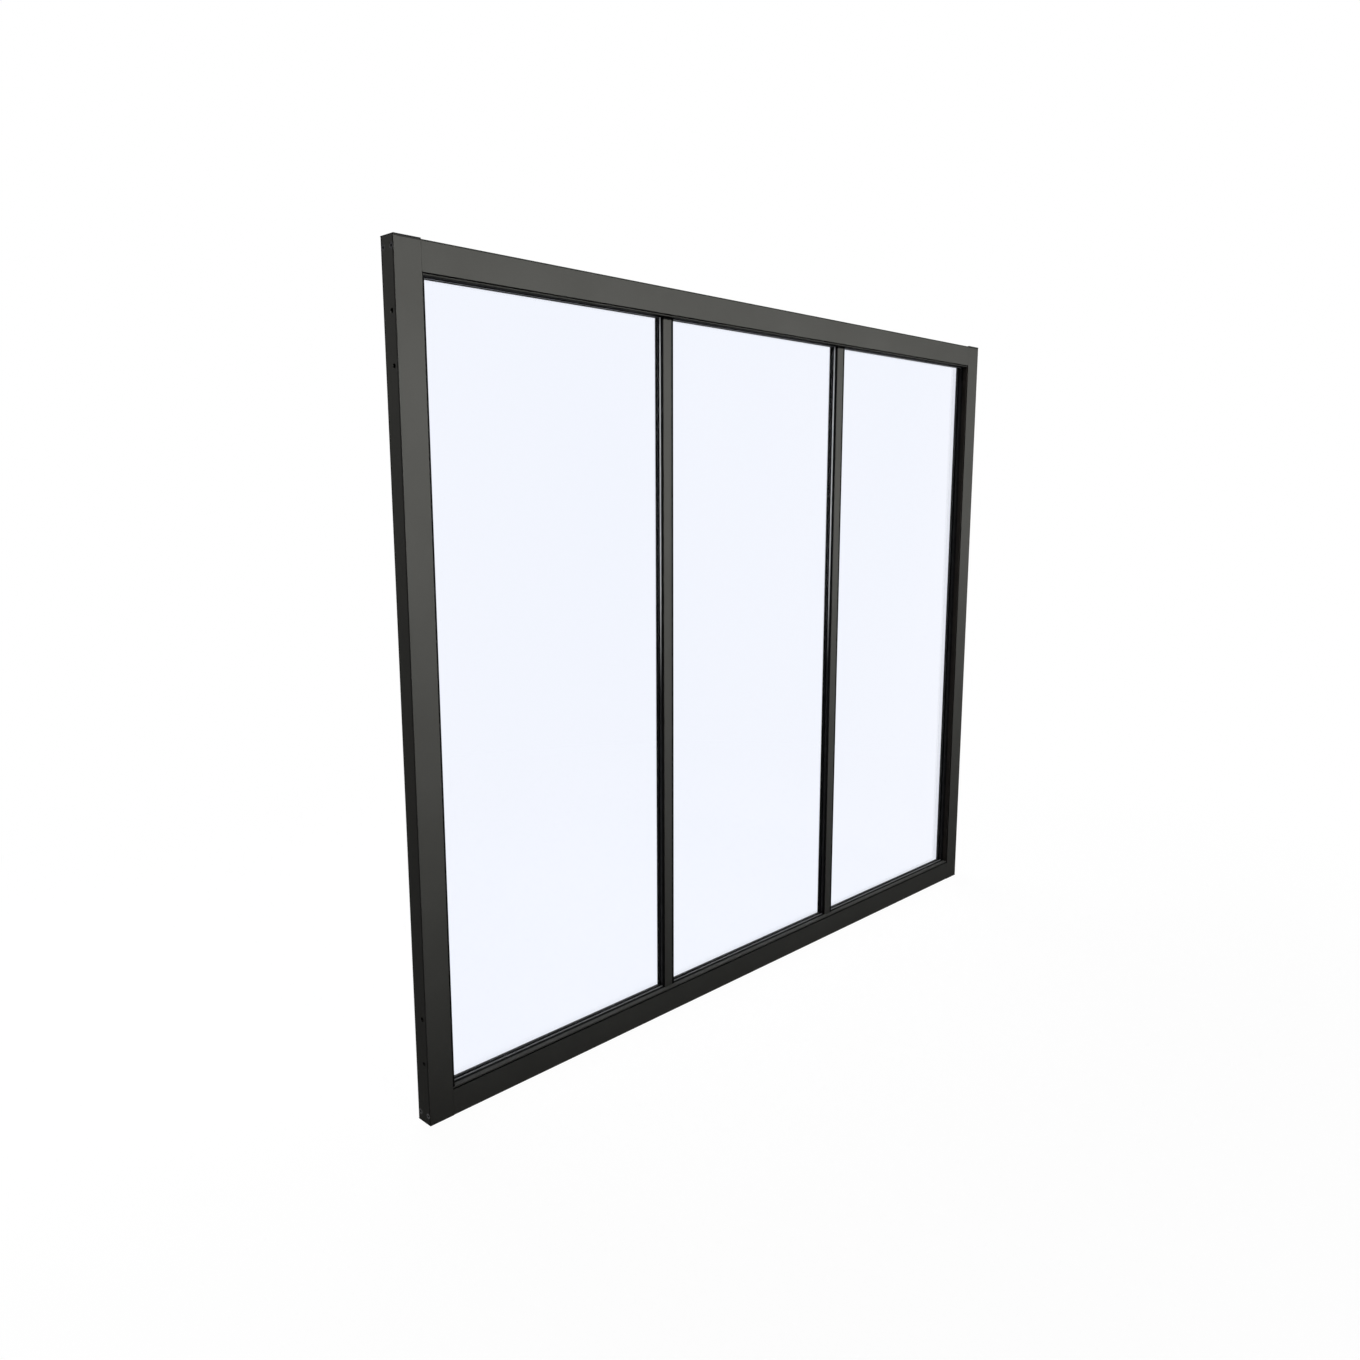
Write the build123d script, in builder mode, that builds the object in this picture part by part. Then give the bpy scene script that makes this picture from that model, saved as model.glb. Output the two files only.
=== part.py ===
from build123d import *
import os

# Interior window with three fixed panes in a slim black aluminium frame.
# Millimetres. X runs along the width, Y from the front to the back, Z up.
# The origin is the middle of the sill's underside. The front faces -Y.

# Overall size
width = 1200.0
height = 1000.0
depth = 25.0

# Frame extrusion, the same section on all four sides
face_width = 36.0        # from the wall to the daylight opening, glazing bead included
pocket_depth = 14.0      # from the daylight opening to the hollow box that stiffens the frame
wall = 1.6               # thickness of the extruded walls
lip_depth = 4.5          # hollow lip behind the glass
arris_radius = 0.8       # small radius that the die leaves on every outer edge
hook_width = 1.2         # return along the front flange's end that the bead snaps behind
hook_depth = 1.2
port_bore = 1.9          # radius of the ports that take the corner screws
port_wall = 1.5          # metal round a port
port_inset = 1.2         # from the inside of the box to a port's bore

# Fits
joint_gap = 0.2          # hairline at the butt joints
snap_gap = 0.3           # running clearance of the snap-in beads
bead_reveal = 1.1        # shadow line between the frame's face and the bead

# Glazing bead, a thin channel that snaps in behind the front flange
bead_thickness = 2.0
bead_setback = 0.8       # how far the bead's nose stands behind the frame's face
foot_thickness = 1.4
barb_width = 1.2         # ridge on the front foot, caught by the flange's hook
seat_thickness = 2.0     # back foot, which presses on the front gasket

# Glass and its seals
glass_thickness = 4.0
glass_bite = 8.0         # how far a pane reaches into the frame
front_gasket = 3.6
back_gasket = 1.5
air_film = 0.05          # between a pane and the dry seals on its faces
gasket_proud = 0.5       # how far the gaskets show beyond the bead
gasket_width = 6.0
rib_width = 1.8          # rib along a gasket's back, pressed into a groove in the metal
rib_height = 0.7
rib_inset = 3.0          # from the daylight opening's edge to the rib's middle
rib_end_gap = 1.0        # from the ends of the upright ribs to the rails
groove_clearance = 0.1
block_length = 80.0      # setting blocks that carry a pane
block_side_gap = 0.5

# Mullions, H-shaped glazing bars that stand behind the beads
mullion_width = 20.0
mullion_wall = 1.6
mullion_face = 3.6       # thickness of the front flange
mullion_radius = 1.8     # rounding of its front arrises
web_thickness = 4.0
edge_clearance = 2.0     # between a pane's edge and the mullion's web

# End caps of the jambs
cap_thickness = 1.0
plug_length = 6.0
plug_wall = 1.2

# Holes in the jambs, for the screws that fix the window in its wall
fixing_radius = 2.75
driver_radius = 5.0      # lets the driver through the chamber's inner wall
fixing_heights = (76.0, 132.0)    # from the jamb's end, at the top and at the bottom
fixing_depth = 8.5       # from the frame's front face

# Holes for the corner screws, which go through the jambs into the rails' ports
screw_radius = 2.1
screw_head_radius = 3.4  # countersunk in the jamb's outer wall

# Places that follow from the sizes above
front = -depth / 2
chamber_width = face_width - pocket_depth
head_top = height - cap_thickness
flange_width = face_width - bead_thickness - bead_reveal
glass_back = depth - lip_depth - back_gasket - air_film
glass_front = glass_back - glass_thickness
bead_back = glass_front - air_film - front_gasket
lip_front = depth - lip_depth
glass_inset = face_width - glass_bite
web_reach = web_thickness / 2 + edge_clearance
bay = (width - 2 * face_width - 2 * mullion_width) / 3
mullion_x = (bay + mullion_width) / 2
port_depths = (wall + port_inset + port_bore, depth - wall - port_inset - port_bore)
groove_width = rib_width + 2 * groove_clearance
groove_depth = rib_height + groove_clearance
opening_low = face_width + joint_gap
opening_high = head_top - face_width - joint_gap

CORNER = (Align.MIN, Align.MIN)
FRONT_CENTRE = (Align.CENTER, Align.MIN)


def side_plane(side):
    """Plane of a member's section: local X runs from the wall to the glass, local Y to the back."""
    if side == "left":
        return Plane(origin=(-width / 2, front, 0), x_dir=(1, 0, 0), z_dir=(0, 0, 1))
    if side == "sill":
        return Plane(origin=(0, front, 0), x_dir=(0, 0, 1), z_dir=(-1, 0, 0))
    return Plane(origin=(0, front, head_top), x_dir=(0, 0, -1), z_dir=(1, 0, 0))


def rectangle_at(x, y, x_size, y_size, mode=Mode.ADD):
    """Rectangle whose lowest corner is at x, y."""
    with Locations((x, y)):
        Rectangle(x_size, y_size, align=CORNER, mode=mode)


def frame_outline():
    """Outer shape of the frame extrusion: box, hooked front flange and the lip behind the glass."""
    rectangle_at(0, 0, chamber_width, depth)
    rectangle_at(0, 0, flange_width, wall)
    rectangle_at(flange_width - hook_width, 0, hook_width, wall + hook_depth)
    rectangle_at(0, lip_front, face_width, lip_depth)


def gasket_groove(light_edge, mouth, inwards):
    """Groove for a gasket's rib; light_edge is where the metal ends, mouth its seat, inwards the cut's way."""
    with Locations((light_edge - rib_inset, mouth + inwards * groove_depth / 2)):
        Rectangle(groove_width, groove_depth, mode=Mode.SUBTRACT)


def frame_section(plane, ports):
    """Section of a frame member, hollow, with screw ports where other members screw into it."""
    with BuildSketch(plane) as section:
        frame_outline()
        wall_arrises = section.vertices().group_by(Axis.X)[0]
        lip_arris = section.vertices().group_by(Axis.Y)[-1].sort_by(Axis.X)[-1]
        fillet([*wall_arrises, lip_arris], arris_radius)
        rectangle_at(wall, wall, chamber_width - 2 * wall, depth - 2 * wall, Mode.SUBTRACT)
        rectangle_at(wall, lip_front + wall, face_width - 2 * wall, lip_depth - 2 * wall, Mode.SUBTRACT)
        gasket_groove(face_width, lip_front, 1)
        if ports:
            port_places = [(chamber_width / 2, place) for place in port_depths]
            with Locations(*port_places):
                Circle(port_bore + port_wall)
            with Locations(*port_places):
                Circle(port_bore, mode=Mode.SUBTRACT)
    return section.sketch


def drill_planes(x, facing, places):
    """Planes on one wall of the left jamb, for holes drilled from its face at x; facing is the way it looks."""
    return [Plane(origin=(x, front + y, z), z_dir=(facing, 0, 0)) for y, z in places]


# Frame
fixing_places = [(fixing_depth, z) for z in fixing_heights]
fixing_places += [(fixing_depth, height - z) for z in fixing_heights]
corner_heights = (chamber_width / 2, head_top - chamber_width / 2)
corner_places = [(y, z) for y in port_depths for z in corner_heights]

with BuildPart() as left_jamb:
    extrude(frame_section(side_plane("left").offset(cap_thickness), ports=False), amount=head_top - cap_thickness)
    with Locations(*drill_planes(-width / 2, -1, fixing_places)):
        Hole(fixing_radius, depth=wall)
    with Locations(*drill_planes(-width / 2 + chamber_width, 1, fixing_places)):
        Hole(driver_radius, depth=wall)
    with Locations(*drill_planes(-width / 2, -1, corner_places)):
        CounterSinkHole(screw_radius, screw_head_radius, depth=wall)
    with Locations(*drill_planes(-width / 2 + chamber_width, 1, corner_places)):
        Hole(screw_radius, depth=wall)

with BuildPart() as right_jamb:
    mirror(left_jamb.part, about=Plane.YZ)


def cope_ends():
    """Cuts a rail's ends back where the jambs' front flanges, hooks and glazing lips pass."""
    with BuildSketch(Plane.XY) as cope:
        rectangle_at(-width / 2, front, flange_width + joint_gap, wall + hook_depth + joint_gap)
        rectangle_at(-width / 2, front + lip_front - joint_gap, face_width + joint_gap, lip_depth + joint_gap)
        mirror(cope.sketch, about=Plane.YZ)
    extrude(cope.sketch, amount=height, mode=Mode.SUBTRACT)


def make_rail(side):
    """Rail between the jambs' boxes, its ends coped to butt against them."""
    rail_length = width - 2 * (chamber_width + joint_gap)
    with BuildPart() as rail:
        extrude(frame_section(side_plane(side), ports=True), amount=rail_length / 2, both=True)
        cope_ends()
    return rail


sill_rail = make_rail("sill")
head_rail = make_rail("head")

# End caps
with BuildPart() as left_foot_cap:
    with BuildSketch(side_plane("left")) as plate:
        frame_outline()
    extrude(amount=cap_thickness)
    with BuildSketch(side_plane("left").offset(cap_thickness)) as plug:
        plug_inset = wall + joint_gap
        plug_width = chamber_width - 2 * plug_inset
        plug_depth = depth - 2 * plug_inset
        rectangle_at(plug_inset, plug_inset, plug_width, plug_depth)
        rectangle_at(plug_inset + plug_wall, plug_inset + plug_wall, plug_width - 2 * plug_wall,
                     plug_depth - 2 * plug_wall, Mode.SUBTRACT)
    extrude(amount=plug_length)

with BuildPart() as right_foot_cap:
    mirror(left_foot_cap.part, about=Plane.YZ)

with BuildPart() as left_head_cap:
    mirror(left_foot_cap.part, about=Plane.XY.offset(height / 2))

with BuildPart() as right_head_cap:
    mirror(right_foot_cap.part, about=Plane.XY.offset(height / 2))


def bead_section(plane):
    """Channel-shaped bead: a leg that lines the opening and two feet that reach into the pocket."""
    foot_start = chamber_width + snap_gap
    foot_length = face_width - foot_start
    foot_front = wall + hook_depth + snap_gap
    barb_start = flange_width - hook_width - snap_gap - barb_width
    leg_start = face_width - bead_thickness
    with BuildSketch(plane) as section:
        rectangle_at(leg_start, bead_setback, bead_thickness, bead_back - bead_setback)
        fillet(section.vertices().group_by(Axis.Y)[0], arris_radius)
        rectangle_at(foot_start, foot_front, foot_length, foot_thickness)
        rectangle_at(barb_start, wall + snap_gap, barb_width, foot_front + foot_thickness - wall - snap_gap)
        rectangle_at(foot_start, bead_back - seat_thickness, foot_length, seat_thickness)
        gasket_groove(face_width, bead_back, -1)
    return section.sketch


# Glazing beads: the long ones run from jamb to jamb, the upright ones stand between them
def make_long_bead(side):
    """Bead along the sill or the head, in front of the mullions' ends."""
    bead_length = width - 2 * (face_width - bead_thickness)
    with BuildPart() as bead:
        extrude(bead_section(side_plane(side)), amount=bead_length / 2, both=True)
    return bead


sill_bead = make_long_bead("sill")
head_bead = make_long_bead("head")

with BuildPart() as left_bead:
    extrude(bead_section(side_plane("left").offset(opening_low)), amount=opening_high - opening_low)

with BuildPart() as right_bead:
    mirror(left_bead.part, about=Plane.YZ)


# Mullions
def make_mullion(x):
    """H-shaped bar: front flange, web between the panes, hollow back; the web runs on into the pockets."""
    tenon_low = chamber_width + joint_gap
    tenon_high = head_top - chamber_width - joint_gap
    bar_plane = Plane(origin=(x, front, opening_low), x_dir=(1, 0, 0), z_dir=(0, 0, 1))
    with BuildPart() as mullion:
        with BuildSketch(bar_plane) as bar:
            with Locations((0, bead_back - mullion_face)):
                Rectangle(mullion_width, mullion_face, align=FRONT_CENTRE)
            with Locations((0, lip_front)):
                Rectangle(mullion_width, lip_depth, align=FRONT_CENTRE)
            fillet(bar.vertices().group_by(Axis.Y)[0], mullion_radius)
            fillet(bar.vertices().group_by(Axis.Y)[-1], arris_radius)
            with Locations((0, lip_front + mullion_wall)):
                Rectangle(mullion_width - 2 * mullion_wall, lip_depth - 2 * mullion_wall, align=FRONT_CENTRE,
                          mode=Mode.SUBTRACT)
            with Locations((0, bead_back)):
                Rectangle(web_thickness, lip_front - bead_back, align=FRONT_CENTRE)
            for light_edge in (mullion_width / 2, 2 * rib_inset - mullion_width / 2):
                gasket_groove(light_edge, bead_back, -1)
                gasket_groove(light_edge, lip_front, 1)
        extrude(amount=opening_high - opening_low)
        with BuildSketch(Plane(origin=(x, front, tenon_low), x_dir=(1, 0, 0), z_dir=(0, 0, 1))) as tenon:
            with Locations((0, bead_back + joint_gap)):
                Rectangle(web_thickness, lip_front - bead_back - 2 * joint_gap, align=FRONT_CENTRE)
        extrude(amount=tenon_high - tenon_low)
    return mullion


mullion_left = make_mullion(-mullion_x)
mullion_right = make_mullion(mullion_x)

# Panes, from left to right: where each one's glass starts and ends, and where its daylight opening does
outer_glass = width / 2 - glass_inset
outer_light = width / 2 - face_width
inner_light = mullion_x - mullion_width / 2
pane_spans = {
    "left": (-outer_glass, -mullion_x - web_reach, -outer_light, -mullion_x - mullion_width / 2),
    "middle": (-mullion_x + web_reach, mullion_x - web_reach, -inner_light, inner_light),
    "right": (mullion_x + web_reach, outer_glass, mullion_x + mullion_width / 2, outer_light),
}
glass_low = glass_inset
glass_high = head_top - glass_inset


def make_pane(start, end):
    """One sheet of glass, its arrises taken off."""
    with BuildPart() as pane:
        with BuildSketch(Plane.XZ.offset(-front - glass_front)) as sheet:
            rectangle_at(start, glass_low, end - start, glass_high - glass_low)
        extrude(amount=-glass_thickness)
    return pane


def make_gasket(light_start, light_end, seat, thickness, backwards):
    """Seal round one pane: a ring between its metal seat and the glass, with ribs in the seat's grooves.
    backwards is 1 where the glass lies behind the seat and -1 where it lies in front of it."""
    low = face_width + gasket_proud
    high = head_top - face_width - gasket_proud
    start = light_start + gasket_proud
    end = light_end - gasket_proud
    seat_plane = Plane.XZ.offset(-front - seat)
    middle = (light_start + light_end) / 2
    mid_height = (opening_low + opening_high) / 2
    upright_places = [(light_start - rib_inset, mid_height), (light_end + rib_inset, mid_height)]
    level_places = [(middle, face_width - rib_inset), (middle, head_top - face_width + rib_inset)]
    with BuildPart() as gasket:
        with BuildSketch(seat_plane) as ring:
            rectangle_at(start - gasket_width, low - gasket_width, end - start + 2 * gasket_width,
                         high - low + 2 * gasket_width)
            rectangle_at(start, low, end - start, high - low, Mode.SUBTRACT)
        extrude(amount=-backwards * thickness)
        with BuildSketch(seat_plane) as ribs:
            with Locations(*upright_places):
                Rectangle(rib_width, opening_high - opening_low - 2 * rib_end_gap)
            with Locations(*level_places):
                Rectangle(light_end - light_start, rib_width)
        extrude(amount=backwards * rib_height)
    return gasket


def make_blocks(start, end):
    """Two setting blocks in the sill's pocket, a quarter of the pane's width from its ends."""
    block_depth = glass_thickness + 2 * block_side_gap
    quarter = (end - start) / 4
    with BuildPart() as blocks:
        with BuildSketch(Plane.XY.offset(chamber_width)) as plan:
            with Locations((start + quarter, front + glass_front - block_side_gap),
                           (end - quarter, front + glass_front - block_side_gap)):
                Rectangle(block_length, block_depth, align=FRONT_CENTRE)
        extrude(amount=glass_low - chamber_width)
    return blocks


def keep(piece, name):
    """Names a finished piece and writes it."""
    piece.part.label = name
    export_step(piece.part, f"parts/{name}.step")


os.makedirs("parts", exist_ok=True)
keep(left_jamb, "left_jamb")
keep(right_jamb, "right_jamb")
keep(sill_rail, "sill_rail")
keep(head_rail, "head_rail")
keep(left_foot_cap, "left_foot_cap")
keep(right_foot_cap, "right_foot_cap")
keep(left_head_cap, "left_head_cap")
keep(right_head_cap, "right_head_cap")
keep(sill_bead, "sill_bead")
keep(head_bead, "head_bead")
keep(left_bead, "left_bead")
keep(right_bead, "right_bead")
keep(mullion_left, "mullion_left")
keep(mullion_right, "mullion_right")
for pane_name, (glass_start, glass_end, light_start, light_end) in pane_spans.items():
    keep(make_pane(glass_start, glass_end), f"glass_{pane_name}")
    keep(make_gasket(light_start, light_end, bead_back, front_gasket, 1), f"front_gasket_{pane_name}")
    keep(make_gasket(light_start, light_end, lip_front, back_gasket, -1), f"back_gasket_{pane_name}")
    keep(make_blocks(glass_start, glass_end), f"setting_blocks_{pane_name}")
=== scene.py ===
import math

import bmesh
import bpy
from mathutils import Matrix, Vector


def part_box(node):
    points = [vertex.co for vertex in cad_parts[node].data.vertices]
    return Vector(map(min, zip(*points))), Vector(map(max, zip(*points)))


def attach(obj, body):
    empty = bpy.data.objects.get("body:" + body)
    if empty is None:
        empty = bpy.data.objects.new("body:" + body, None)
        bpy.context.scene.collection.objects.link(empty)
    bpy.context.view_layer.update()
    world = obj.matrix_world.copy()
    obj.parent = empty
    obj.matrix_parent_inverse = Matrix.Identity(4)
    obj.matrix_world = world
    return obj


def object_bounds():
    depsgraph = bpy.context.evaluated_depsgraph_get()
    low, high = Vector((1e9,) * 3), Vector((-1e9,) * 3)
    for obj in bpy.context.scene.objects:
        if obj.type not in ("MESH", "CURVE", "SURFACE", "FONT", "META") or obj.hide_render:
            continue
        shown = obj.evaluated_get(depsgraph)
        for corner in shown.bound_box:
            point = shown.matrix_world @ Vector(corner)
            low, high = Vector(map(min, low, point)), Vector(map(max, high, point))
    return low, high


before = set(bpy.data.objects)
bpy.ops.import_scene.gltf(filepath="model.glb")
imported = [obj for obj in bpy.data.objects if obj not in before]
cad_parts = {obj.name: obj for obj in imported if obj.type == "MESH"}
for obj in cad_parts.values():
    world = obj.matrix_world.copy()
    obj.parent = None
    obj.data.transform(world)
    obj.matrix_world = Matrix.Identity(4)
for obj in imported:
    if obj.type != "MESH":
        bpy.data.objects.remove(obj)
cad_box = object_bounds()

# Places on the window, in metres, read from its frame
low, high = (Vector(corner) for corner in cad_box)
height = high.z - low.z
front_y = low.y
RAIL_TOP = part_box("head_rail")[1][2]
MULLION_X = (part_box("mullion_right")[0][0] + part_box("mullion_right")[1][0]) / 2
ON_FACE = 0.0002              # a place this near to a flat face counts as part of it

# Painted highlights on the front seals: a pale line beside the mullions, grey under the head and over the
# sill
SEAL_REACH = 0.012            # from a mullion's middle to the far edge of the seals beside it
SEAL_BAND = 0.007             # height of the stretch that follows the head or the sill
HEAD_SEAL_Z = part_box("front_gasket_middle")[1][2] - SEAL_BAND
SILL_SEAL_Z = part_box("front_gasket_middle")[0][2] + SEAL_BAND
HEAD_HIGHLIGHT = 0.25         # how bright the painted highlight is there, where 1 is its full colour
SILL_HIGHLIGHT = 0.20
SEAL_LINE_START = 0.0116      # where the lines start and end behind the frame's face
SEAL_LINE_END = 0.0140
HIGHLIGHT_FADE = (0.45, 0.65)      # the painted highlight is dark below the first part of the height and full above the second

# Painted shade: a dark line at the inner end of the frame's front flange, where the gap lies in shadow, as
# distances from the frame's outer edge
SHADE_START = 0.0327
SHADE_END = 0.0345

# Painted shade on the rounded edges of a mullion, as distances to the right of its middle
LEFT_EDGE = -0.0090
RIGHT_EDGE = 0.0054
MULLION_REACH = 0.0110

# Painted shade: dark lines along the outer arrises, at the top and right of the frame's face and on the
# left jamb's side
ARRIS_LINE = 0.0017
SIDE_ARRIS_LINE = 0.0026
ARRIS_DARK = 0.65

# Zones of a bead: where its nose, its side and the lip of its seal end behind the frame's face
NOSE_END = 0.0011
SIDE_END = 0.0076
BEAD_END = 0.0113
ZONE_BLUR = 0.02              # half the change from one zone to the next, as a part of the bead's depth

# Camera, fitted to the window's corners in the photograph: seen from the front left, looking down a little
CAMERA_FROM_CORNER = (-0.6305, -1.0216, 0.7312)   # from the frame's front lower left corner
CAMERA_TURN = math.radians(45.87)                 # to the right
CAMERA_TILT = math.radians(9.60)                  # downwards
CAMERA_LENS = 28.48                               # millimetres
SENSOR = 36.0                                     # millimetres

# Lamps: name, place, point aimed at, size, power in watts and angle of the beam in degrees
LAMPS = [
    ("front_strip", (-0.35, -2.4, 1.95), (-0.35, 0.0, 0.80), (2.6, 0.3), 10.2, 33),
    ("right_key", (1.9, -1.7, 2.3), (0.6, 0.0, 0.6), (0.7, 0.7), 0.3, 180),
    ("left_fill", (-1.9, -0.3, 2.3), (-0.6, 0.0, 1.05), (0.6, 0.6), 0.6, 36),
    ("back_fill", (0.4, 1.8, 3.0), (0.0, 0.0, 0.6), (2.0, 1.2), 55, 180),
]
EVEN_LIGHT = 0.07             # strength of the world's light on the object

# Corner screws: countersunk, driven through the jambs into the rails' ports
SCREW_FROM_FACE = 0.0047      # from the frame's front or back to a screw's axis
SCREW_FROM_WALL = 0.0110      # from the rails' wall side to a screw's axis
HEAD_RADIUS = 0.0033
HEAD_DEPTH = 0.0013
HEAD_SUNK = 0.0001            # how far a head lies below the jamb's side
SHANK_RADIUS = 0.0017
SHANK_LENGTH = 0.0360
POINT_LENGTH = 0.0030
POINT_NARROWING = 0.2         # the point's width, as a part of the shank's
RECESS_RADIUS = 0.0017
RECESS_DEPTH = 0.0010
LOBES = 6
LOBE_POINTS = 8               # points of the head's rim for each lobe
LOBE_PINCH = 0.74             # the recess's reach between two lobes, as a part of its radius
BETWEEN_LOBES = -0.1          # the rim's wave, 1 at a lobe, lies below this between two lobes
RIM_SLACK = 1.1               # a point this near to the recess's radius may be on its rim
SAME_DEPTH = 1e-6             # and lies no farther than this from the head's face
SAME_MIDDLE = 1e-4            # how far the middle of the recess's face may lie from the screw's axis
FACING = 0.9                  # least part of a face's normal along X with which it faces that way
SMOOTH_ANGLE = math.radians(35)

# Sizes of the finishes' patterns: about so many features go in a metre
CLOUD_SCALE = 9.0
GRAIN_SCALE = 1400.0
PEEL_SCALE = 420.0
RUBBER_SPECKLE_SCALE = 260.0
SEAL_SPECKLE_SCALE = 300.0
GLASS_DRIFT_SCALE = 2.2
TURNING_MARK_SCALE = 900.0
FLOOR_PATCH_SCALE = 3.0
GRAIN_SHARE = 0.35            # the grain's part in the powder coat's colour; the rest is its clouds
GLASS_IOR = 1.45

# Floor
FLOOR_SIZE = 14
FLOOR_DROP = 0.0002           # below the window's underside
FLOOR_FADE = (0.7, 1.6)       # distances from the middle between which it turns plain white
SHADOW_LIFT = 0.97

# Colours, as linear values
COAT = (0.064, 0.064, 0.059, 1)
COAT_WORN = (0.076, 0.076, 0.071, 1)
SHADE = (0.006, 0.006, 0.006, 1)
# Beads' tones as painted light and shade: the sill's up-facing side and the head's nose lit, the head's
# underside and the jambs' sides shaded
SILL_SIDE_LIT = (0.088, 0.088, 0.082, 1)
HEAD_NOSE_LIT = (0.040, 0.040, 0.037, 1)
HEAD_SIDE_SHADE = (0.010, 0.010, 0.010, 1)
LEFT_SIDE_SHADE = (0.008, 0.008, 0.008, 1)
RIGHT_SIDE_SHADE = (0.020, 0.018, 0.016, 1)
SEAL_LIP = (0.007, 0.007, 0.007, 1)
SEAL = (0.006, 0.006, 0.006, 1)
# the front seals' painted highlight at its full strength
SEAL_HIGHLIGHT = (0.78, 0.79, 0.78, 1)
CAP_PLASTIC = (0.012, 0.012, 0.012, 1)
BLOCK = (0.10, 0.10, 0.10, 1)
GLASS_TINT = (0.90, 0.925, 1.0, 1)
GLASS_TINT_DEEP = (0.885, 0.915, 0.995, 1)
ZINC = (0.018, 0.018, 0.020, 1)
FLOOR = (0.20, 0.20, 0.197, 1)
SHADOW_PAINT = (0.05, 0.05, 0.05, 1)
WHITE = (1.0, 1.0, 1.0, 1)
OFF_WHITE = (0.88, 0.88, 0.88, 1)


def new_material(name):
    """Empty material with a shader, ready for nodes."""
    material = bpy.data.materials.new(name)
    material.use_nodes = True
    tree = material.node_tree
    shader = next(node for node in tree.nodes if node.type == "BSDF_PRINCIPLED")
    return material, tree, shader


def feed(tree, socket, value):
    """Gives a socket another node's output, or else a number or colour of its own."""
    if isinstance(value, bpy.types.NodeSocket):
        tree.links.new(value, socket)
    else:
        socket.default_value = value


def object_coordinates(tree, scale=(1, 1, 1)):
    """Object coordinates, stretched by a mapping."""
    coordinates = tree.nodes.new("ShaderNodeTexCoord")
    mapping = tree.nodes.new("ShaderNodeMapping")
    mapping.inputs["Scale"].default_value = scale
    tree.links.new(coordinates.outputs["Object"], mapping.inputs["Vector"])
    return mapping.outputs["Vector"]


def noise(tree, place, scale, detail, roughness):
    """Noise texture's factor."""
    texture = tree.nodes.new("ShaderNodeTexNoise")
    texture.inputs["Scale"].default_value = scale
    texture.inputs["Detail"].default_value = detail
    texture.inputs["Roughness"].default_value = roughness
    tree.links.new(place, texture.inputs["Vector"])
    return texture.outputs["Fac"]


def ramp(tree, factor, stops):
    """Colour ramp with the given places and colours."""
    node = tree.nodes.new("ShaderNodeValToRGB")
    node.color_ramp.elements[0].position, node.color_ramp.elements[0].color = stops[0]
    node.color_ramp.elements[1].position, node.color_ramp.elements[1].color = stops[-1]
    for place, colour in stops[1:-1]:
        node.color_ramp.elements.new(place).color = colour
    tree.links.new(factor, node.inputs["Fac"])
    return node.outputs["Color"]


def mixed(tree, factor, first, second, blend="MIX"):
    """Two colours mixed by a factor; each may be another node's output."""
    node = tree.nodes.new("ShaderNodeMix")
    node.data_type = "RGBA"
    node.blend_type = blend
    for name, value in (("Factor", factor), ("A", first), ("B", second)):
        feed(tree, node.inputs[name], value)
    return node.outputs["Result"]


def mapped(tree, value, span=(0.0, 1.0), result=(0.0, 1.0), smooth=False):
    """Value mapped from one range to another, evenly or eased at both ends."""
    node = tree.nodes.new("ShaderNodeMapRange")
    node.interpolation_type = "SMOOTHSTEP" if smooth else "LINEAR"
    node.inputs["From Min"].default_value, node.inputs["From Max"].default_value = span
    node.inputs["To Min"].default_value, node.inputs["To Max"].default_value = result
    tree.links.new(value, node.inputs["Value"])
    return node.outputs["Result"]


def bump(tree, shader, relief, strength, distance):
    """Relief from a height value."""
    node = tree.nodes.new("ShaderNodeBump")
    node.inputs["Strength"].default_value = strength
    node.inputs["Distance"].default_value = distance
    tree.links.new(relief, node.inputs["Height"])
    tree.links.new(node.outputs["Normal"], shader.inputs["Normal"])


def value_math(tree, operation, *values):
    """Math node; each value is a number or another node's output."""
    node = tree.nodes.new("ShaderNodeMath")
    node.operation = operation
    for socket, value in zip(node.inputs, values):
        feed(tree, socket, value)
    return node.outputs["Value"]


def above(tree, value, limit):
    """1 where a value lies above a limit, 0 elsewhere."""
    return value_math(tree, "GREATER_THAN", value, limit)


def below(tree, value, limit):
    """1 where a value lies below a limit, 0 elsewhere."""
    return value_math(tree, "LESS_THAN", value, limit)


def product(tree, first, second):
    """Two values multiplied: for values of 0 and 1, 1 where both are."""
    return value_math(tree, "MULTIPLY", first, second)


def larger(tree, first, second):
    """The larger of two values: for values of 0 and 1, 1 where either is."""
    return value_math(tree, "MAXIMUM", first, second)


def between(tree, value, least, most):
    """1 where a value lies between two limits, 0 elsewhere."""
    return product(tree, above(tree, value, least), below(tree, value, most))


def axes(tree, place):
    """The three parts of a place."""
    split = tree.nodes.new("ShaderNodeSeparateXYZ")
    tree.links.new(place, split.inputs["Vector"])
    return split.outputs["X"], split.outputs["Y"], split.outputs["Z"]


def off_mullion(tree, x):
    """Distance to the right of the nearer mullion's middle, negative to its left."""
    middle = value_math(tree, "MULTIPLY", value_math(tree, "SIGN", x), MULLION_X)
    return value_math(tree, "SUBTRACT", x, middle)


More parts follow.
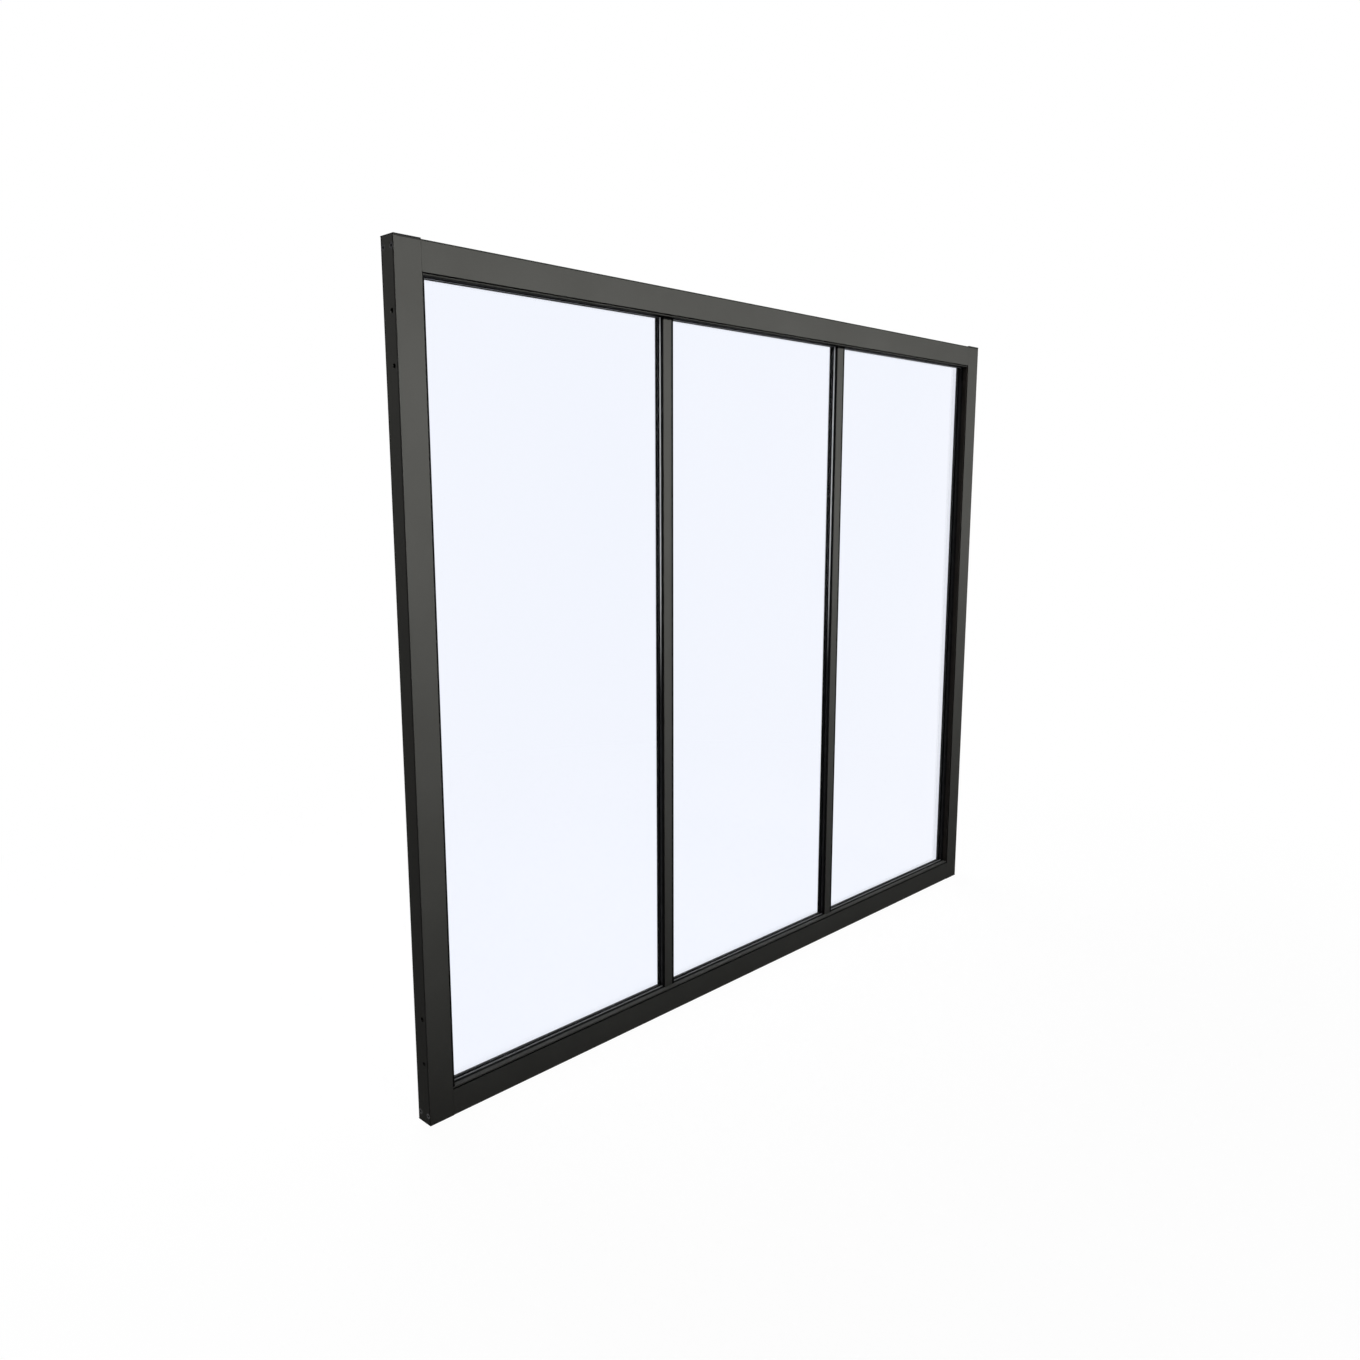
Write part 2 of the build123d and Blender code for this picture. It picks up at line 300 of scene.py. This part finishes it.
def outer_arris(tree, x, y, z):
    """1 in the narrow lines of painted shade along the frame's outer arrises."""
    from_top = value_math(tree, "SUBTRACT", RAIL_TOP, z)
    from_right = value_math(tree, "SUBTRACT", high.x, x)
    from_edge = value_math(tree, "MINIMUM", from_top, from_right)
    on_face = below(tree, y, front_y + ON_FACE)
    face_line = product(tree, on_face, below(tree, from_edge, ARRIS_LINE))
    on_left_side = below(tree, x, low.x + ON_FACE)
    from_middle = value_math(tree, "ABSOLUTE", y)
    side_line = product(tree, on_left_side, above(tree, from_middle, high.y - SIDE_ARRIS_LINE))
    return larger(tree, face_line, side_line)


def flange_end(tree, y, from_edge):
    """1 on the inner end of the frame's front flange, behind its face, where shade is painted."""
    behind_face = above(tree, y, front_y + ON_FACE)
    in_front_half = below(tree, y, 0.0)
    in_line = between(tree, from_edge, SHADE_START, SHADE_END)
    return product(tree, behind_face, product(tree, in_line, in_front_half))


def mullion_edges(tree, x, from_edge):
    """1 on the mullions' edges, where shade is painted."""
    beside = off_mullion(tree, x)
    left = between(tree, beside, -MULLION_REACH, LEFT_EDGE)
    right = between(tree, beside, RIGHT_EDGE, MULLION_REACH)
    inside_frame = above(tree, from_edge, SHADE_END)
    return product(tree, larger(tree, left, right), inside_frame)


def shaded(tree, place):
    """Where shade is painted: 1 at the front flange's inner end and on the mullions' edges, less along the
    outer arrises.
    """
    x, y, z = axes(tree, place)
    from_side = value_math(tree, "SUBTRACT", high.x, value_math(tree, "ABSOLUTE", x))
    from_rail = value_math(tree, "MINIMUM", z, value_math(tree, "SUBTRACT", RAIL_TOP, z))
    from_edge = value_math(tree, "MINIMUM", from_side, from_rail)
    inner = larger(tree, flange_end(tree, y, from_edge), mullion_edges(tree, x, from_edge))
    outer = product(tree, outer_arris(tree, x, y, z), ARRIS_DARK)
    return larger(tree, inner, outer)


def darkened(colour, share):
    """Colour with its brightness brought down to a share of it."""
    return tuple(share * value for value in colour[:3]) + (1,)


def powder_coat(name):
    """Satin powder coat: fine orange peel, faint cloudiness and slightly uneven gloss, with painted shade
    at its edges and the flange's inner end.
    """
    material, tree, shader = new_material(name)
    place = object_coordinates(tree)
    cloud = noise(tree, place, CLOUD_SCALE, detail=3.0, roughness=0.6)
    grain = noise(tree, place, GRAIN_SCALE, detail=2.0, roughness=0.6)
    peel = noise(tree, place, PEEL_SCALE, detail=1.0, roughness=0.4)
    clouded = ramp(tree, cloud, [(0.30, COAT), (0.75, COAT_WORN)])
    grained = ramp(tree, grain, [(0.35, COAT), (0.80, COAT_WORN)])
    coat = mixed(tree, GRAIN_SHARE, clouded, grained)
    # painted shade: near black where shaded() marks the flange's end, the mullions' edges and the outer
    # arrises
    colour = mixed(tree, shaded(tree, place), coat, SHADE)
    tree.links.new(colour, shader.inputs["Base Color"])
    tree.links.new(mapped(tree, cloud, result=(0.40, 0.52)), shader.inputs["Roughness"])
    shader.inputs["Specular IOR Level"].default_value = 0.01
    bump(tree, shader, peel, strength=0.12, distance=0.0004)
    return material


def bead_coat(name, nose, side):
    """Dull coat of a bead with painted light and shade; its nose may be lighter than the side that lines
    the opening.
    """
    material, tree, shader = new_material(name)
    place = object_coordinates(tree)
    depth = mapped(tree, axes(tree, place)[1], span=(front_y, front_y + BEAD_END))
    nose_end, side_end = NOSE_END / BEAD_END, SIDE_END / BEAD_END
    zones = ramp(tree, depth, [(nose_end - ZONE_BLUR, nose), (nose_end + ZONE_BLUR, side),
                               (side_end - ZONE_BLUR, side), (side_end + ZONE_BLUR, SEAL_LIP)])
    grain = noise(tree, place, GRAIN_SCALE, detail=2.0, roughness=0.6)
    grained = ramp(tree, grain, [(0.3, OFF_WHITE), (0.7, WHITE)])
    colour = mixed(tree, 1.0, zones, grained, blend="MULTIPLY")
    tree.links.new(colour, shader.inputs["Base Color"])
    tree.links.new(mapped(tree, grain, result=(0.55, 0.65)), shader.inputs["Roughness"])
    shader.inputs["Specular IOR Level"].default_value = 0.01
    bump(tree, shader, grain, strength=0.1, distance=0.0003)
    return material


def rubber(name, colour, specular):
    """Extruded seal or moulded plastic with a dull, faintly speckled skin."""
    material, tree, shader = new_material(name)
    place = object_coordinates(tree)
    speckle = noise(tree, place, RUBBER_SPECKLE_SCALE, detail=2.0, roughness=0.6)
    speckled = ramp(tree, speckle, [(0.3, darkened(colour, share=0.75)), (0.7, colour)])
    tree.links.new(speckled, shader.inputs["Base Color"])
    tree.links.new(mapped(tree, speckle, result=(0.50, 0.70)), shader.inputs["Roughness"])
    shader.inputs["Specular IOR Level"].default_value = specular
    bump(tree, shader, speckle, strength=0.15, distance=0.0003)
    return material


def seal_highlights(tree, place):
    """How strong the painted highlight on the front seals is at a place: 1 for its full colour, 0 for bare
    rubber.
    """
    x, y, z = axes(tree, place)
    beside_mullion = below(tree, value_math(tree, "ABSOLUTE", off_mullion(tree, x)), SEAL_REACH)
    fade = mapped(tree, z, span=[low.z + part * height for part in HIGHLIGHT_FADE], smooth=True)
    # painted highlight beside the mullions, fading out downwards
    mullion_highlight = product(tree, beside_mullion, fade)
    at_head = product(tree, above(tree, z, HEAD_SEAL_Z), HEAD_HIGHLIGHT)
    at_sill = product(tree, below(tree, z, SILL_SEAL_Z), SILL_HIGHLIGHT)
    in_line = between(tree, y, front_y + SEAL_LINE_START, front_y + SEAL_LINE_END)
    return product(tree, in_line, larger(tree, mullion_highlight, larger(tree, at_head, at_sill)))


def front_seal_rubber(name):
    """Black seal with painted highlights: grey lines along the head and sill and a pale line beside the
    mullions.
    """
    material, tree, shader = new_material(name)
    place = object_coordinates(tree)
    speckle = noise(tree, place, SEAL_SPECKLE_SCALE, detail=2.0, roughness=0.6)
    uneven = product(tree, seal_highlights(tree, place), mapped(tree, speckle, result=(0.85, 1.1)))
    tree.links.new(ramp(tree, uneven, [(0.0, SEAL), (1.0, SEAL_HIGHLIGHT)]), shader.inputs["Base Color"])
    tree.links.new(mapped(tree, speckle, result=(0.40, 0.55)), shader.inputs["Roughness"])
    shader.inputs["Specular IOR Level"].default_value = 0.1
    bump(tree, shader, speckle, strength=0.15, distance=0.0003)
    return material


def clear_glass(name):
    """Clear float glass with a cool tint that varies very slightly over the pane."""
    material, tree, shader = new_material(name)
    place = object_coordinates(tree, scale=(1.5, 1, 0.4))
    drift = noise(tree, place, GLASS_DRIFT_SCALE, detail=1.0, roughness=0.4)
    tint = ramp(tree, drift, [(0.3, GLASS_TINT_DEEP), (0.7, GLASS_TINT)])
    tree.links.new(tint, shader.inputs["Base Color"])
    shader.inputs["Roughness"].default_value = 0.0
    shader.inputs["IOR"].default_value = GLASS_IOR
    shader.inputs["Transmission Weight"].default_value = 1.0
    return material


def black_zinc(name):
    """Black-passivated screw steel with fine turning marks."""
    material, tree, shader = new_material(name)
    place = object_coordinates(tree)
    marks = noise(tree, place, TURNING_MARK_SCALE, detail=3.0, roughness=0.7)
    marked = ramp(tree, marks, [(0.3, darkened(ZINC, share=0.6)), (0.7, ZINC)])
    tree.links.new(marked, shader.inputs["Base Color"])
    tree.links.new(mapped(tree, marks, result=(0.25, 0.45)), shader.inputs["Roughness"])
    shader.inputs["Metallic"].default_value = 1.0
    bump(tree, shader, marks, strength=0.1, distance=0.0002)
    return material


frame_coat = powder_coat("frame_coat")
screw_zinc = black_zinc("screw_zinc")

# Finishes, by a part of the CAD nodes' names; the first that fits is used
FINISHES = {
    "jamb": frame_coat,
    "rail": frame_coat,
    "mullion": frame_coat,
    "cap": rubber("cap_plastic", CAP_PLASTIC, specular=0.03),
    # the beads' coats carry painted light and shade: lit at the sill, shaded at the head and jambs
    "sill_bead": bead_coat("sill_bead_coat", SILL_SIDE_LIT, SILL_SIDE_LIT),
    "head_bead": bead_coat("head_bead_coat", HEAD_NOSE_LIT, HEAD_SIDE_SHADE),
    "left_bead": bead_coat("left_bead_coat", LEFT_SIDE_SHADE, LEFT_SIDE_SHADE),
    "right_bead": bead_coat("right_bead_coat", RIGHT_SIDE_SHADE, RIGHT_SIDE_SHADE),
    "front_gasket": front_seal_rubber("front_seal"),
    "back_gasket": rubber("back_seal", SEAL, specular=0.05),
    "blocks": rubber("block_plastic", BLOCK, specular=0.3),
    "glass": clear_glass("glass"),
}


def dress_nodes():
    """Gives every CAD node the finish that its name calls for."""
    for name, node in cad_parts.items():
        finish = next(value for key, value in FINISHES.items() if key in name)
        node.data.materials.clear()
        node.data.materials.append(finish)


dress_nodes()


def select_faces(piece, wanted):
    """Selects the faces whose middle and normal pass a test, in edit mode."""
    bpy.ops.mesh.select_mode(type="FACE")
    bpy.ops.mesh.select_all(action="DESELECT")
    mesh = bmesh.from_edit_mesh(piece.data)
    for face in mesh.faces:
        face.select_set(wanted(face.calc_center_median(), face.normal))
    bmesh.update_edit_mesh(piece.data)


def pinch_lobes(piece, middle):
    """Draws every second stretch of the recess's rim inwards, which leaves its lobes."""
    bpy.ops.mesh.select_mode(type="VERT")
    bpy.ops.mesh.select_all(action="DESELECT")
    mesh = bmesh.from_edit_mesh(piece.data)
    for point in mesh.verts:
        reach = point.co - middle
        from_axis = Vector((reach.y, reach.z)).length
        on_rim = abs(reach.x) < SAME_DEPTH and from_axis < RECESS_RADIUS * RIM_SLACK
        wave = math.cos(LOBES * math.atan2(reach.z, reach.y))
        point.select_set(on_rim and wave < BETWEEN_LOBES)
    bmesh.update_edit_mesh(piece.data)
    bpy.ops.transform.resize(value=(1, LOBE_PINCH, LOBE_PINCH), center_override=middle)


def corner_screw(middle):
    """Countersunk screw with a lobed recess, driven along X; middle is the centre of its head's face."""
    bpy.ops.object.select_all(action="DESELECT")
    bpy.ops.mesh.primitive_cylinder_add(vertices=LOBE_POINTS * LOBES, radius=HEAD_RADIUS, depth=HEAD_DEPTH,
                                        location=middle + Vector((HEAD_DEPTH / 2, 0, 0)),
                                        rotation=(0, math.pi / 2, 0))
    screw = bpy.context.active_object
    bpy.ops.object.transform_apply(location=True, rotation=True, scale=True)
    bpy.ops.object.mode_set(mode="EDIT")
    select_faces(screw, lambda centre, normal: normal.x > FACING)
    narrower = SHANK_RADIUS / HEAD_RADIUS
    bpy.ops.transform.resize(value=(1, narrower, narrower), center_override=middle)
    bpy.ops.mesh.extrude_region_move(TRANSFORM_OT_translate={"value": (SHANK_LENGTH, 0, 0)})
    bpy.ops.mesh.extrude_region_move(TRANSFORM_OT_translate={"value": (POINT_LENGTH, 0, 0)})
    bpy.ops.transform.resize(value=(1, POINT_NARROWING, POINT_NARROWING), center_override=middle)
    select_faces(screw, lambda centre, normal: normal.x < -FACING)
    bpy.ops.mesh.inset(thickness=HEAD_RADIUS - RECESS_RADIUS)
    pinch_lobes(screw, middle)
    select_faces(screw, lambda centre, normal: normal.x < -FACING
                 and (centre - middle).length < SAME_MIDDLE)
    bpy.ops.mesh.extrude_region_move(TRANSFORM_OT_translate={"value": (RECESS_DEPTH, 0, 0)})
    bpy.ops.object.mode_set(mode="OBJECT")
    bpy.ops.object.shade_smooth_by_angle(angle=SMOOTH_ANGLE)
    return screw


def copy_of(piece):
    """Copy of a piece, with its own mesh."""
    twin = piece.copy()
    twin.data = piece.data.copy()
    bpy.context.scene.collection.objects.link(twin)
    return twin


def apply_place(piece):
    """Moves an object's place into its mesh."""
    bpy.ops.object.select_all(action="DESELECT")
    piece.select_set(True)
    bpy.context.view_layer.objects.active = piece
    bpy.ops.object.transform_apply(location=True, rotation=True, scale=True)


def join_as(pieces, name):
    """Joins like pieces into one named piece."""
    bpy.ops.object.select_all(action="DESELECT")
    for piece in pieces:
        piece.select_set(True)
    bpy.context.view_layer.objects.active = pieces[0]
    bpy.ops.object.join()
    pieces[0].name = name
    pieces[0].data.name = name
    return pieces[0]


def drive_corner_screws():
    """Four corner screws in each jamb, the right jamb's turned half round from the left jamb's."""
    lowest = Vector((low.x + HEAD_SUNK, low.y + SCREW_FROM_FACE,
                     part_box("sill_rail")[0][2] + SCREW_FROM_WALL))
    first = corner_screw(lowest)
    across = high.y - low.y - 2 * SCREW_FROM_FACE
    up = RAIL_TOP - SCREW_FROM_WALL - lowest.z
    screws = [first]
    for step in ((0, across, 0), (0, 0, up), (0, across, up)):
        twin = copy_of(first)
        twin.location = step
        apply_place(twin)
        screws.append(twin)
    left = join_as(screws, "left_corner_screws")
    right = copy_of(left)
    right.rotation_euler = (0, 0, math.pi)
    apply_place(right)
    right.name = right.data.name = "right_corner_screws"
    for piece in (left, right):
        piece.data.materials.clear()
        piece.data.materials.append(screw_zinc)
        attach(piece, "root")


drive_corner_screws()


def mixed_shaders(tree, factor, first, second):
    """Two shaders mixed by a factor."""
    node = tree.nodes.new("ShaderNodeMixShader")
    for socket, value in zip(node.inputs, (factor, first, second)):
        tree.links.new(value, socket)
    return node.outputs[0]


def background_where_seen(tree, seen, lit):
    """Mixes two shaders: one for rays that show the background, one for light that falls on the object."""
    path = tree.nodes.new("ShaderNodeLightPath")
    shown = larger(tree, path.outputs["Is Camera Ray"], path.outputs["Is Glossy Ray"])
    shown = larger(tree, shown, path.outputs["Is Transmission Ray"])
    return mixed_shaders(tree, shown, lit, seen)


def white_world():
    """White background, with a dimmer even light on the object."""
    world = bpy.data.worlds.new("studio")
    world.use_nodes = True
    bpy.context.scene.world = world
    tree = world.node_tree
    tree.nodes.clear()
    shaders = []
    for strength in (1.0, EVEN_LIGHT):
        background = tree.nodes.new("ShaderNodeBackground")
        background.inputs["Color"].default_value = WHITE
        background.inputs["Strength"].default_value = strength
        shaders.append(background.outputs[0])
    output = tree.nodes.new("ShaderNodeOutputWorld")
    tree.links.new(background_where_seen(tree, *shaders), output.inputs["Surface"])


def white_glow(tree, strength):
    """Shader that shows white, whatever light falls on it."""
    node = tree.nodes.new("ShaderNodeEmission")
    node.inputs["Color"].default_value = WHITE
    node.inputs["Strength"].default_value = strength
    return node.outputs[0]


def shadow_paint(tree):
    """Nearly white shader that still shows the window's shadow."""
    thin = tree.nodes.new("ShaderNodeBsdfDiffuse")
    thin.inputs["Color"].default_value = SHADOW_PAINT
    both = tree.nodes.new("ShaderNodeAddShader")
    tree.links.new(thin.outputs[0], both.inputs[0])
    tree.links.new(white_glow(tree, strength=SHADOW_LIFT), both.inputs[1])
    return both.outputs[0]


def plain_floor():
    """Pale floor that keeps the window's shadow and fades into the white background."""
    bpy.ops.object.select_all(action="DESELECT")
    bpy.ops.mesh.primitive_plane_add(size=FLOOR_SIZE, location=(0, 0, low.z - FLOOR_DROP))
    floor = bpy.context.active_object
    floor.name = "floor"
    material, tree, shader = new_material("floor_paint")
    place = object_coordinates(tree)
    patch = noise(tree, place, FLOOR_PATCH_SCALE, detail=2.0, roughness=0.5)
    patchy = ramp(tree, patch, [(0.3, darkened(FLOOR, share=0.98)), (0.7, FLOOR)])
    tree.links.new(patchy, shader.inputs["Base Color"])
    shader.inputs["Roughness"].default_value = 0.9
    shader.inputs["Specular IOR Level"].default_value = 0.0
    reach = tree.nodes.new("ShaderNodeVectorMath")
    reach.operation = "LENGTH"
    tree.links.new(place, reach.inputs[0])
    fade = mapped(tree, reach.outputs["Value"], span=FLOOR_FADE, smooth=True)
    seen = mixed_shaders(tree, fade, shadow_paint(tree), white_glow(tree, strength=1.0))
    output = next(node for node in tree.nodes if node.type == "OUTPUT_MATERIAL")
    tree.links.new(background_where_seen(tree, seen, shader.outputs[0]), output.inputs["Surface"])
    floor.data.materials.append(material)


def area_light(name, place, target, size, power, spread):
    """Soft rectangular lamp aimed at a point."""
    lamp = bpy.data.lights.new(name, "AREA")
    lamp.shape = "RECTANGLE"
    lamp.size, lamp.size_y = size
    lamp.energy = power
    lamp.spread = math.radians(spread)
    holder = bpy.data.objects.new(name, lamp)
    bpy.context.scene.collection.objects.link(holder)
    holder.location = place
    holder.rotation_euler = (Vector(target) - Vector(place)).to_track_quat("-Z", "Y").to_euler()


def place_camera():
    """Camera at the photograph's viewing angle."""
    lens = bpy.data.cameras.new("camera")
    lens.sensor_width = SENSOR
    lens.lens = CAMERA_LENS
    lens.clip_start = 0.01
    camera = bpy.data.objects.new("camera", lens)
    bpy.context.scene.collection.objects.link(camera)
    camera.location = Vector((low.x, front_y, low.z)) + Vector(CAMERA_FROM_CORNER)
    camera.rotation_euler = (math.pi / 2 - CAMERA_TILT, 0, -CAMERA_TURN)
    bpy.context.scene.camera = camera


white_world()
plain_floor()
for lamp_values in LAMPS:
    area_light(*lamp_values)
place_camera()

bpy.context.scene.view_settings.view_transform = "Standard"
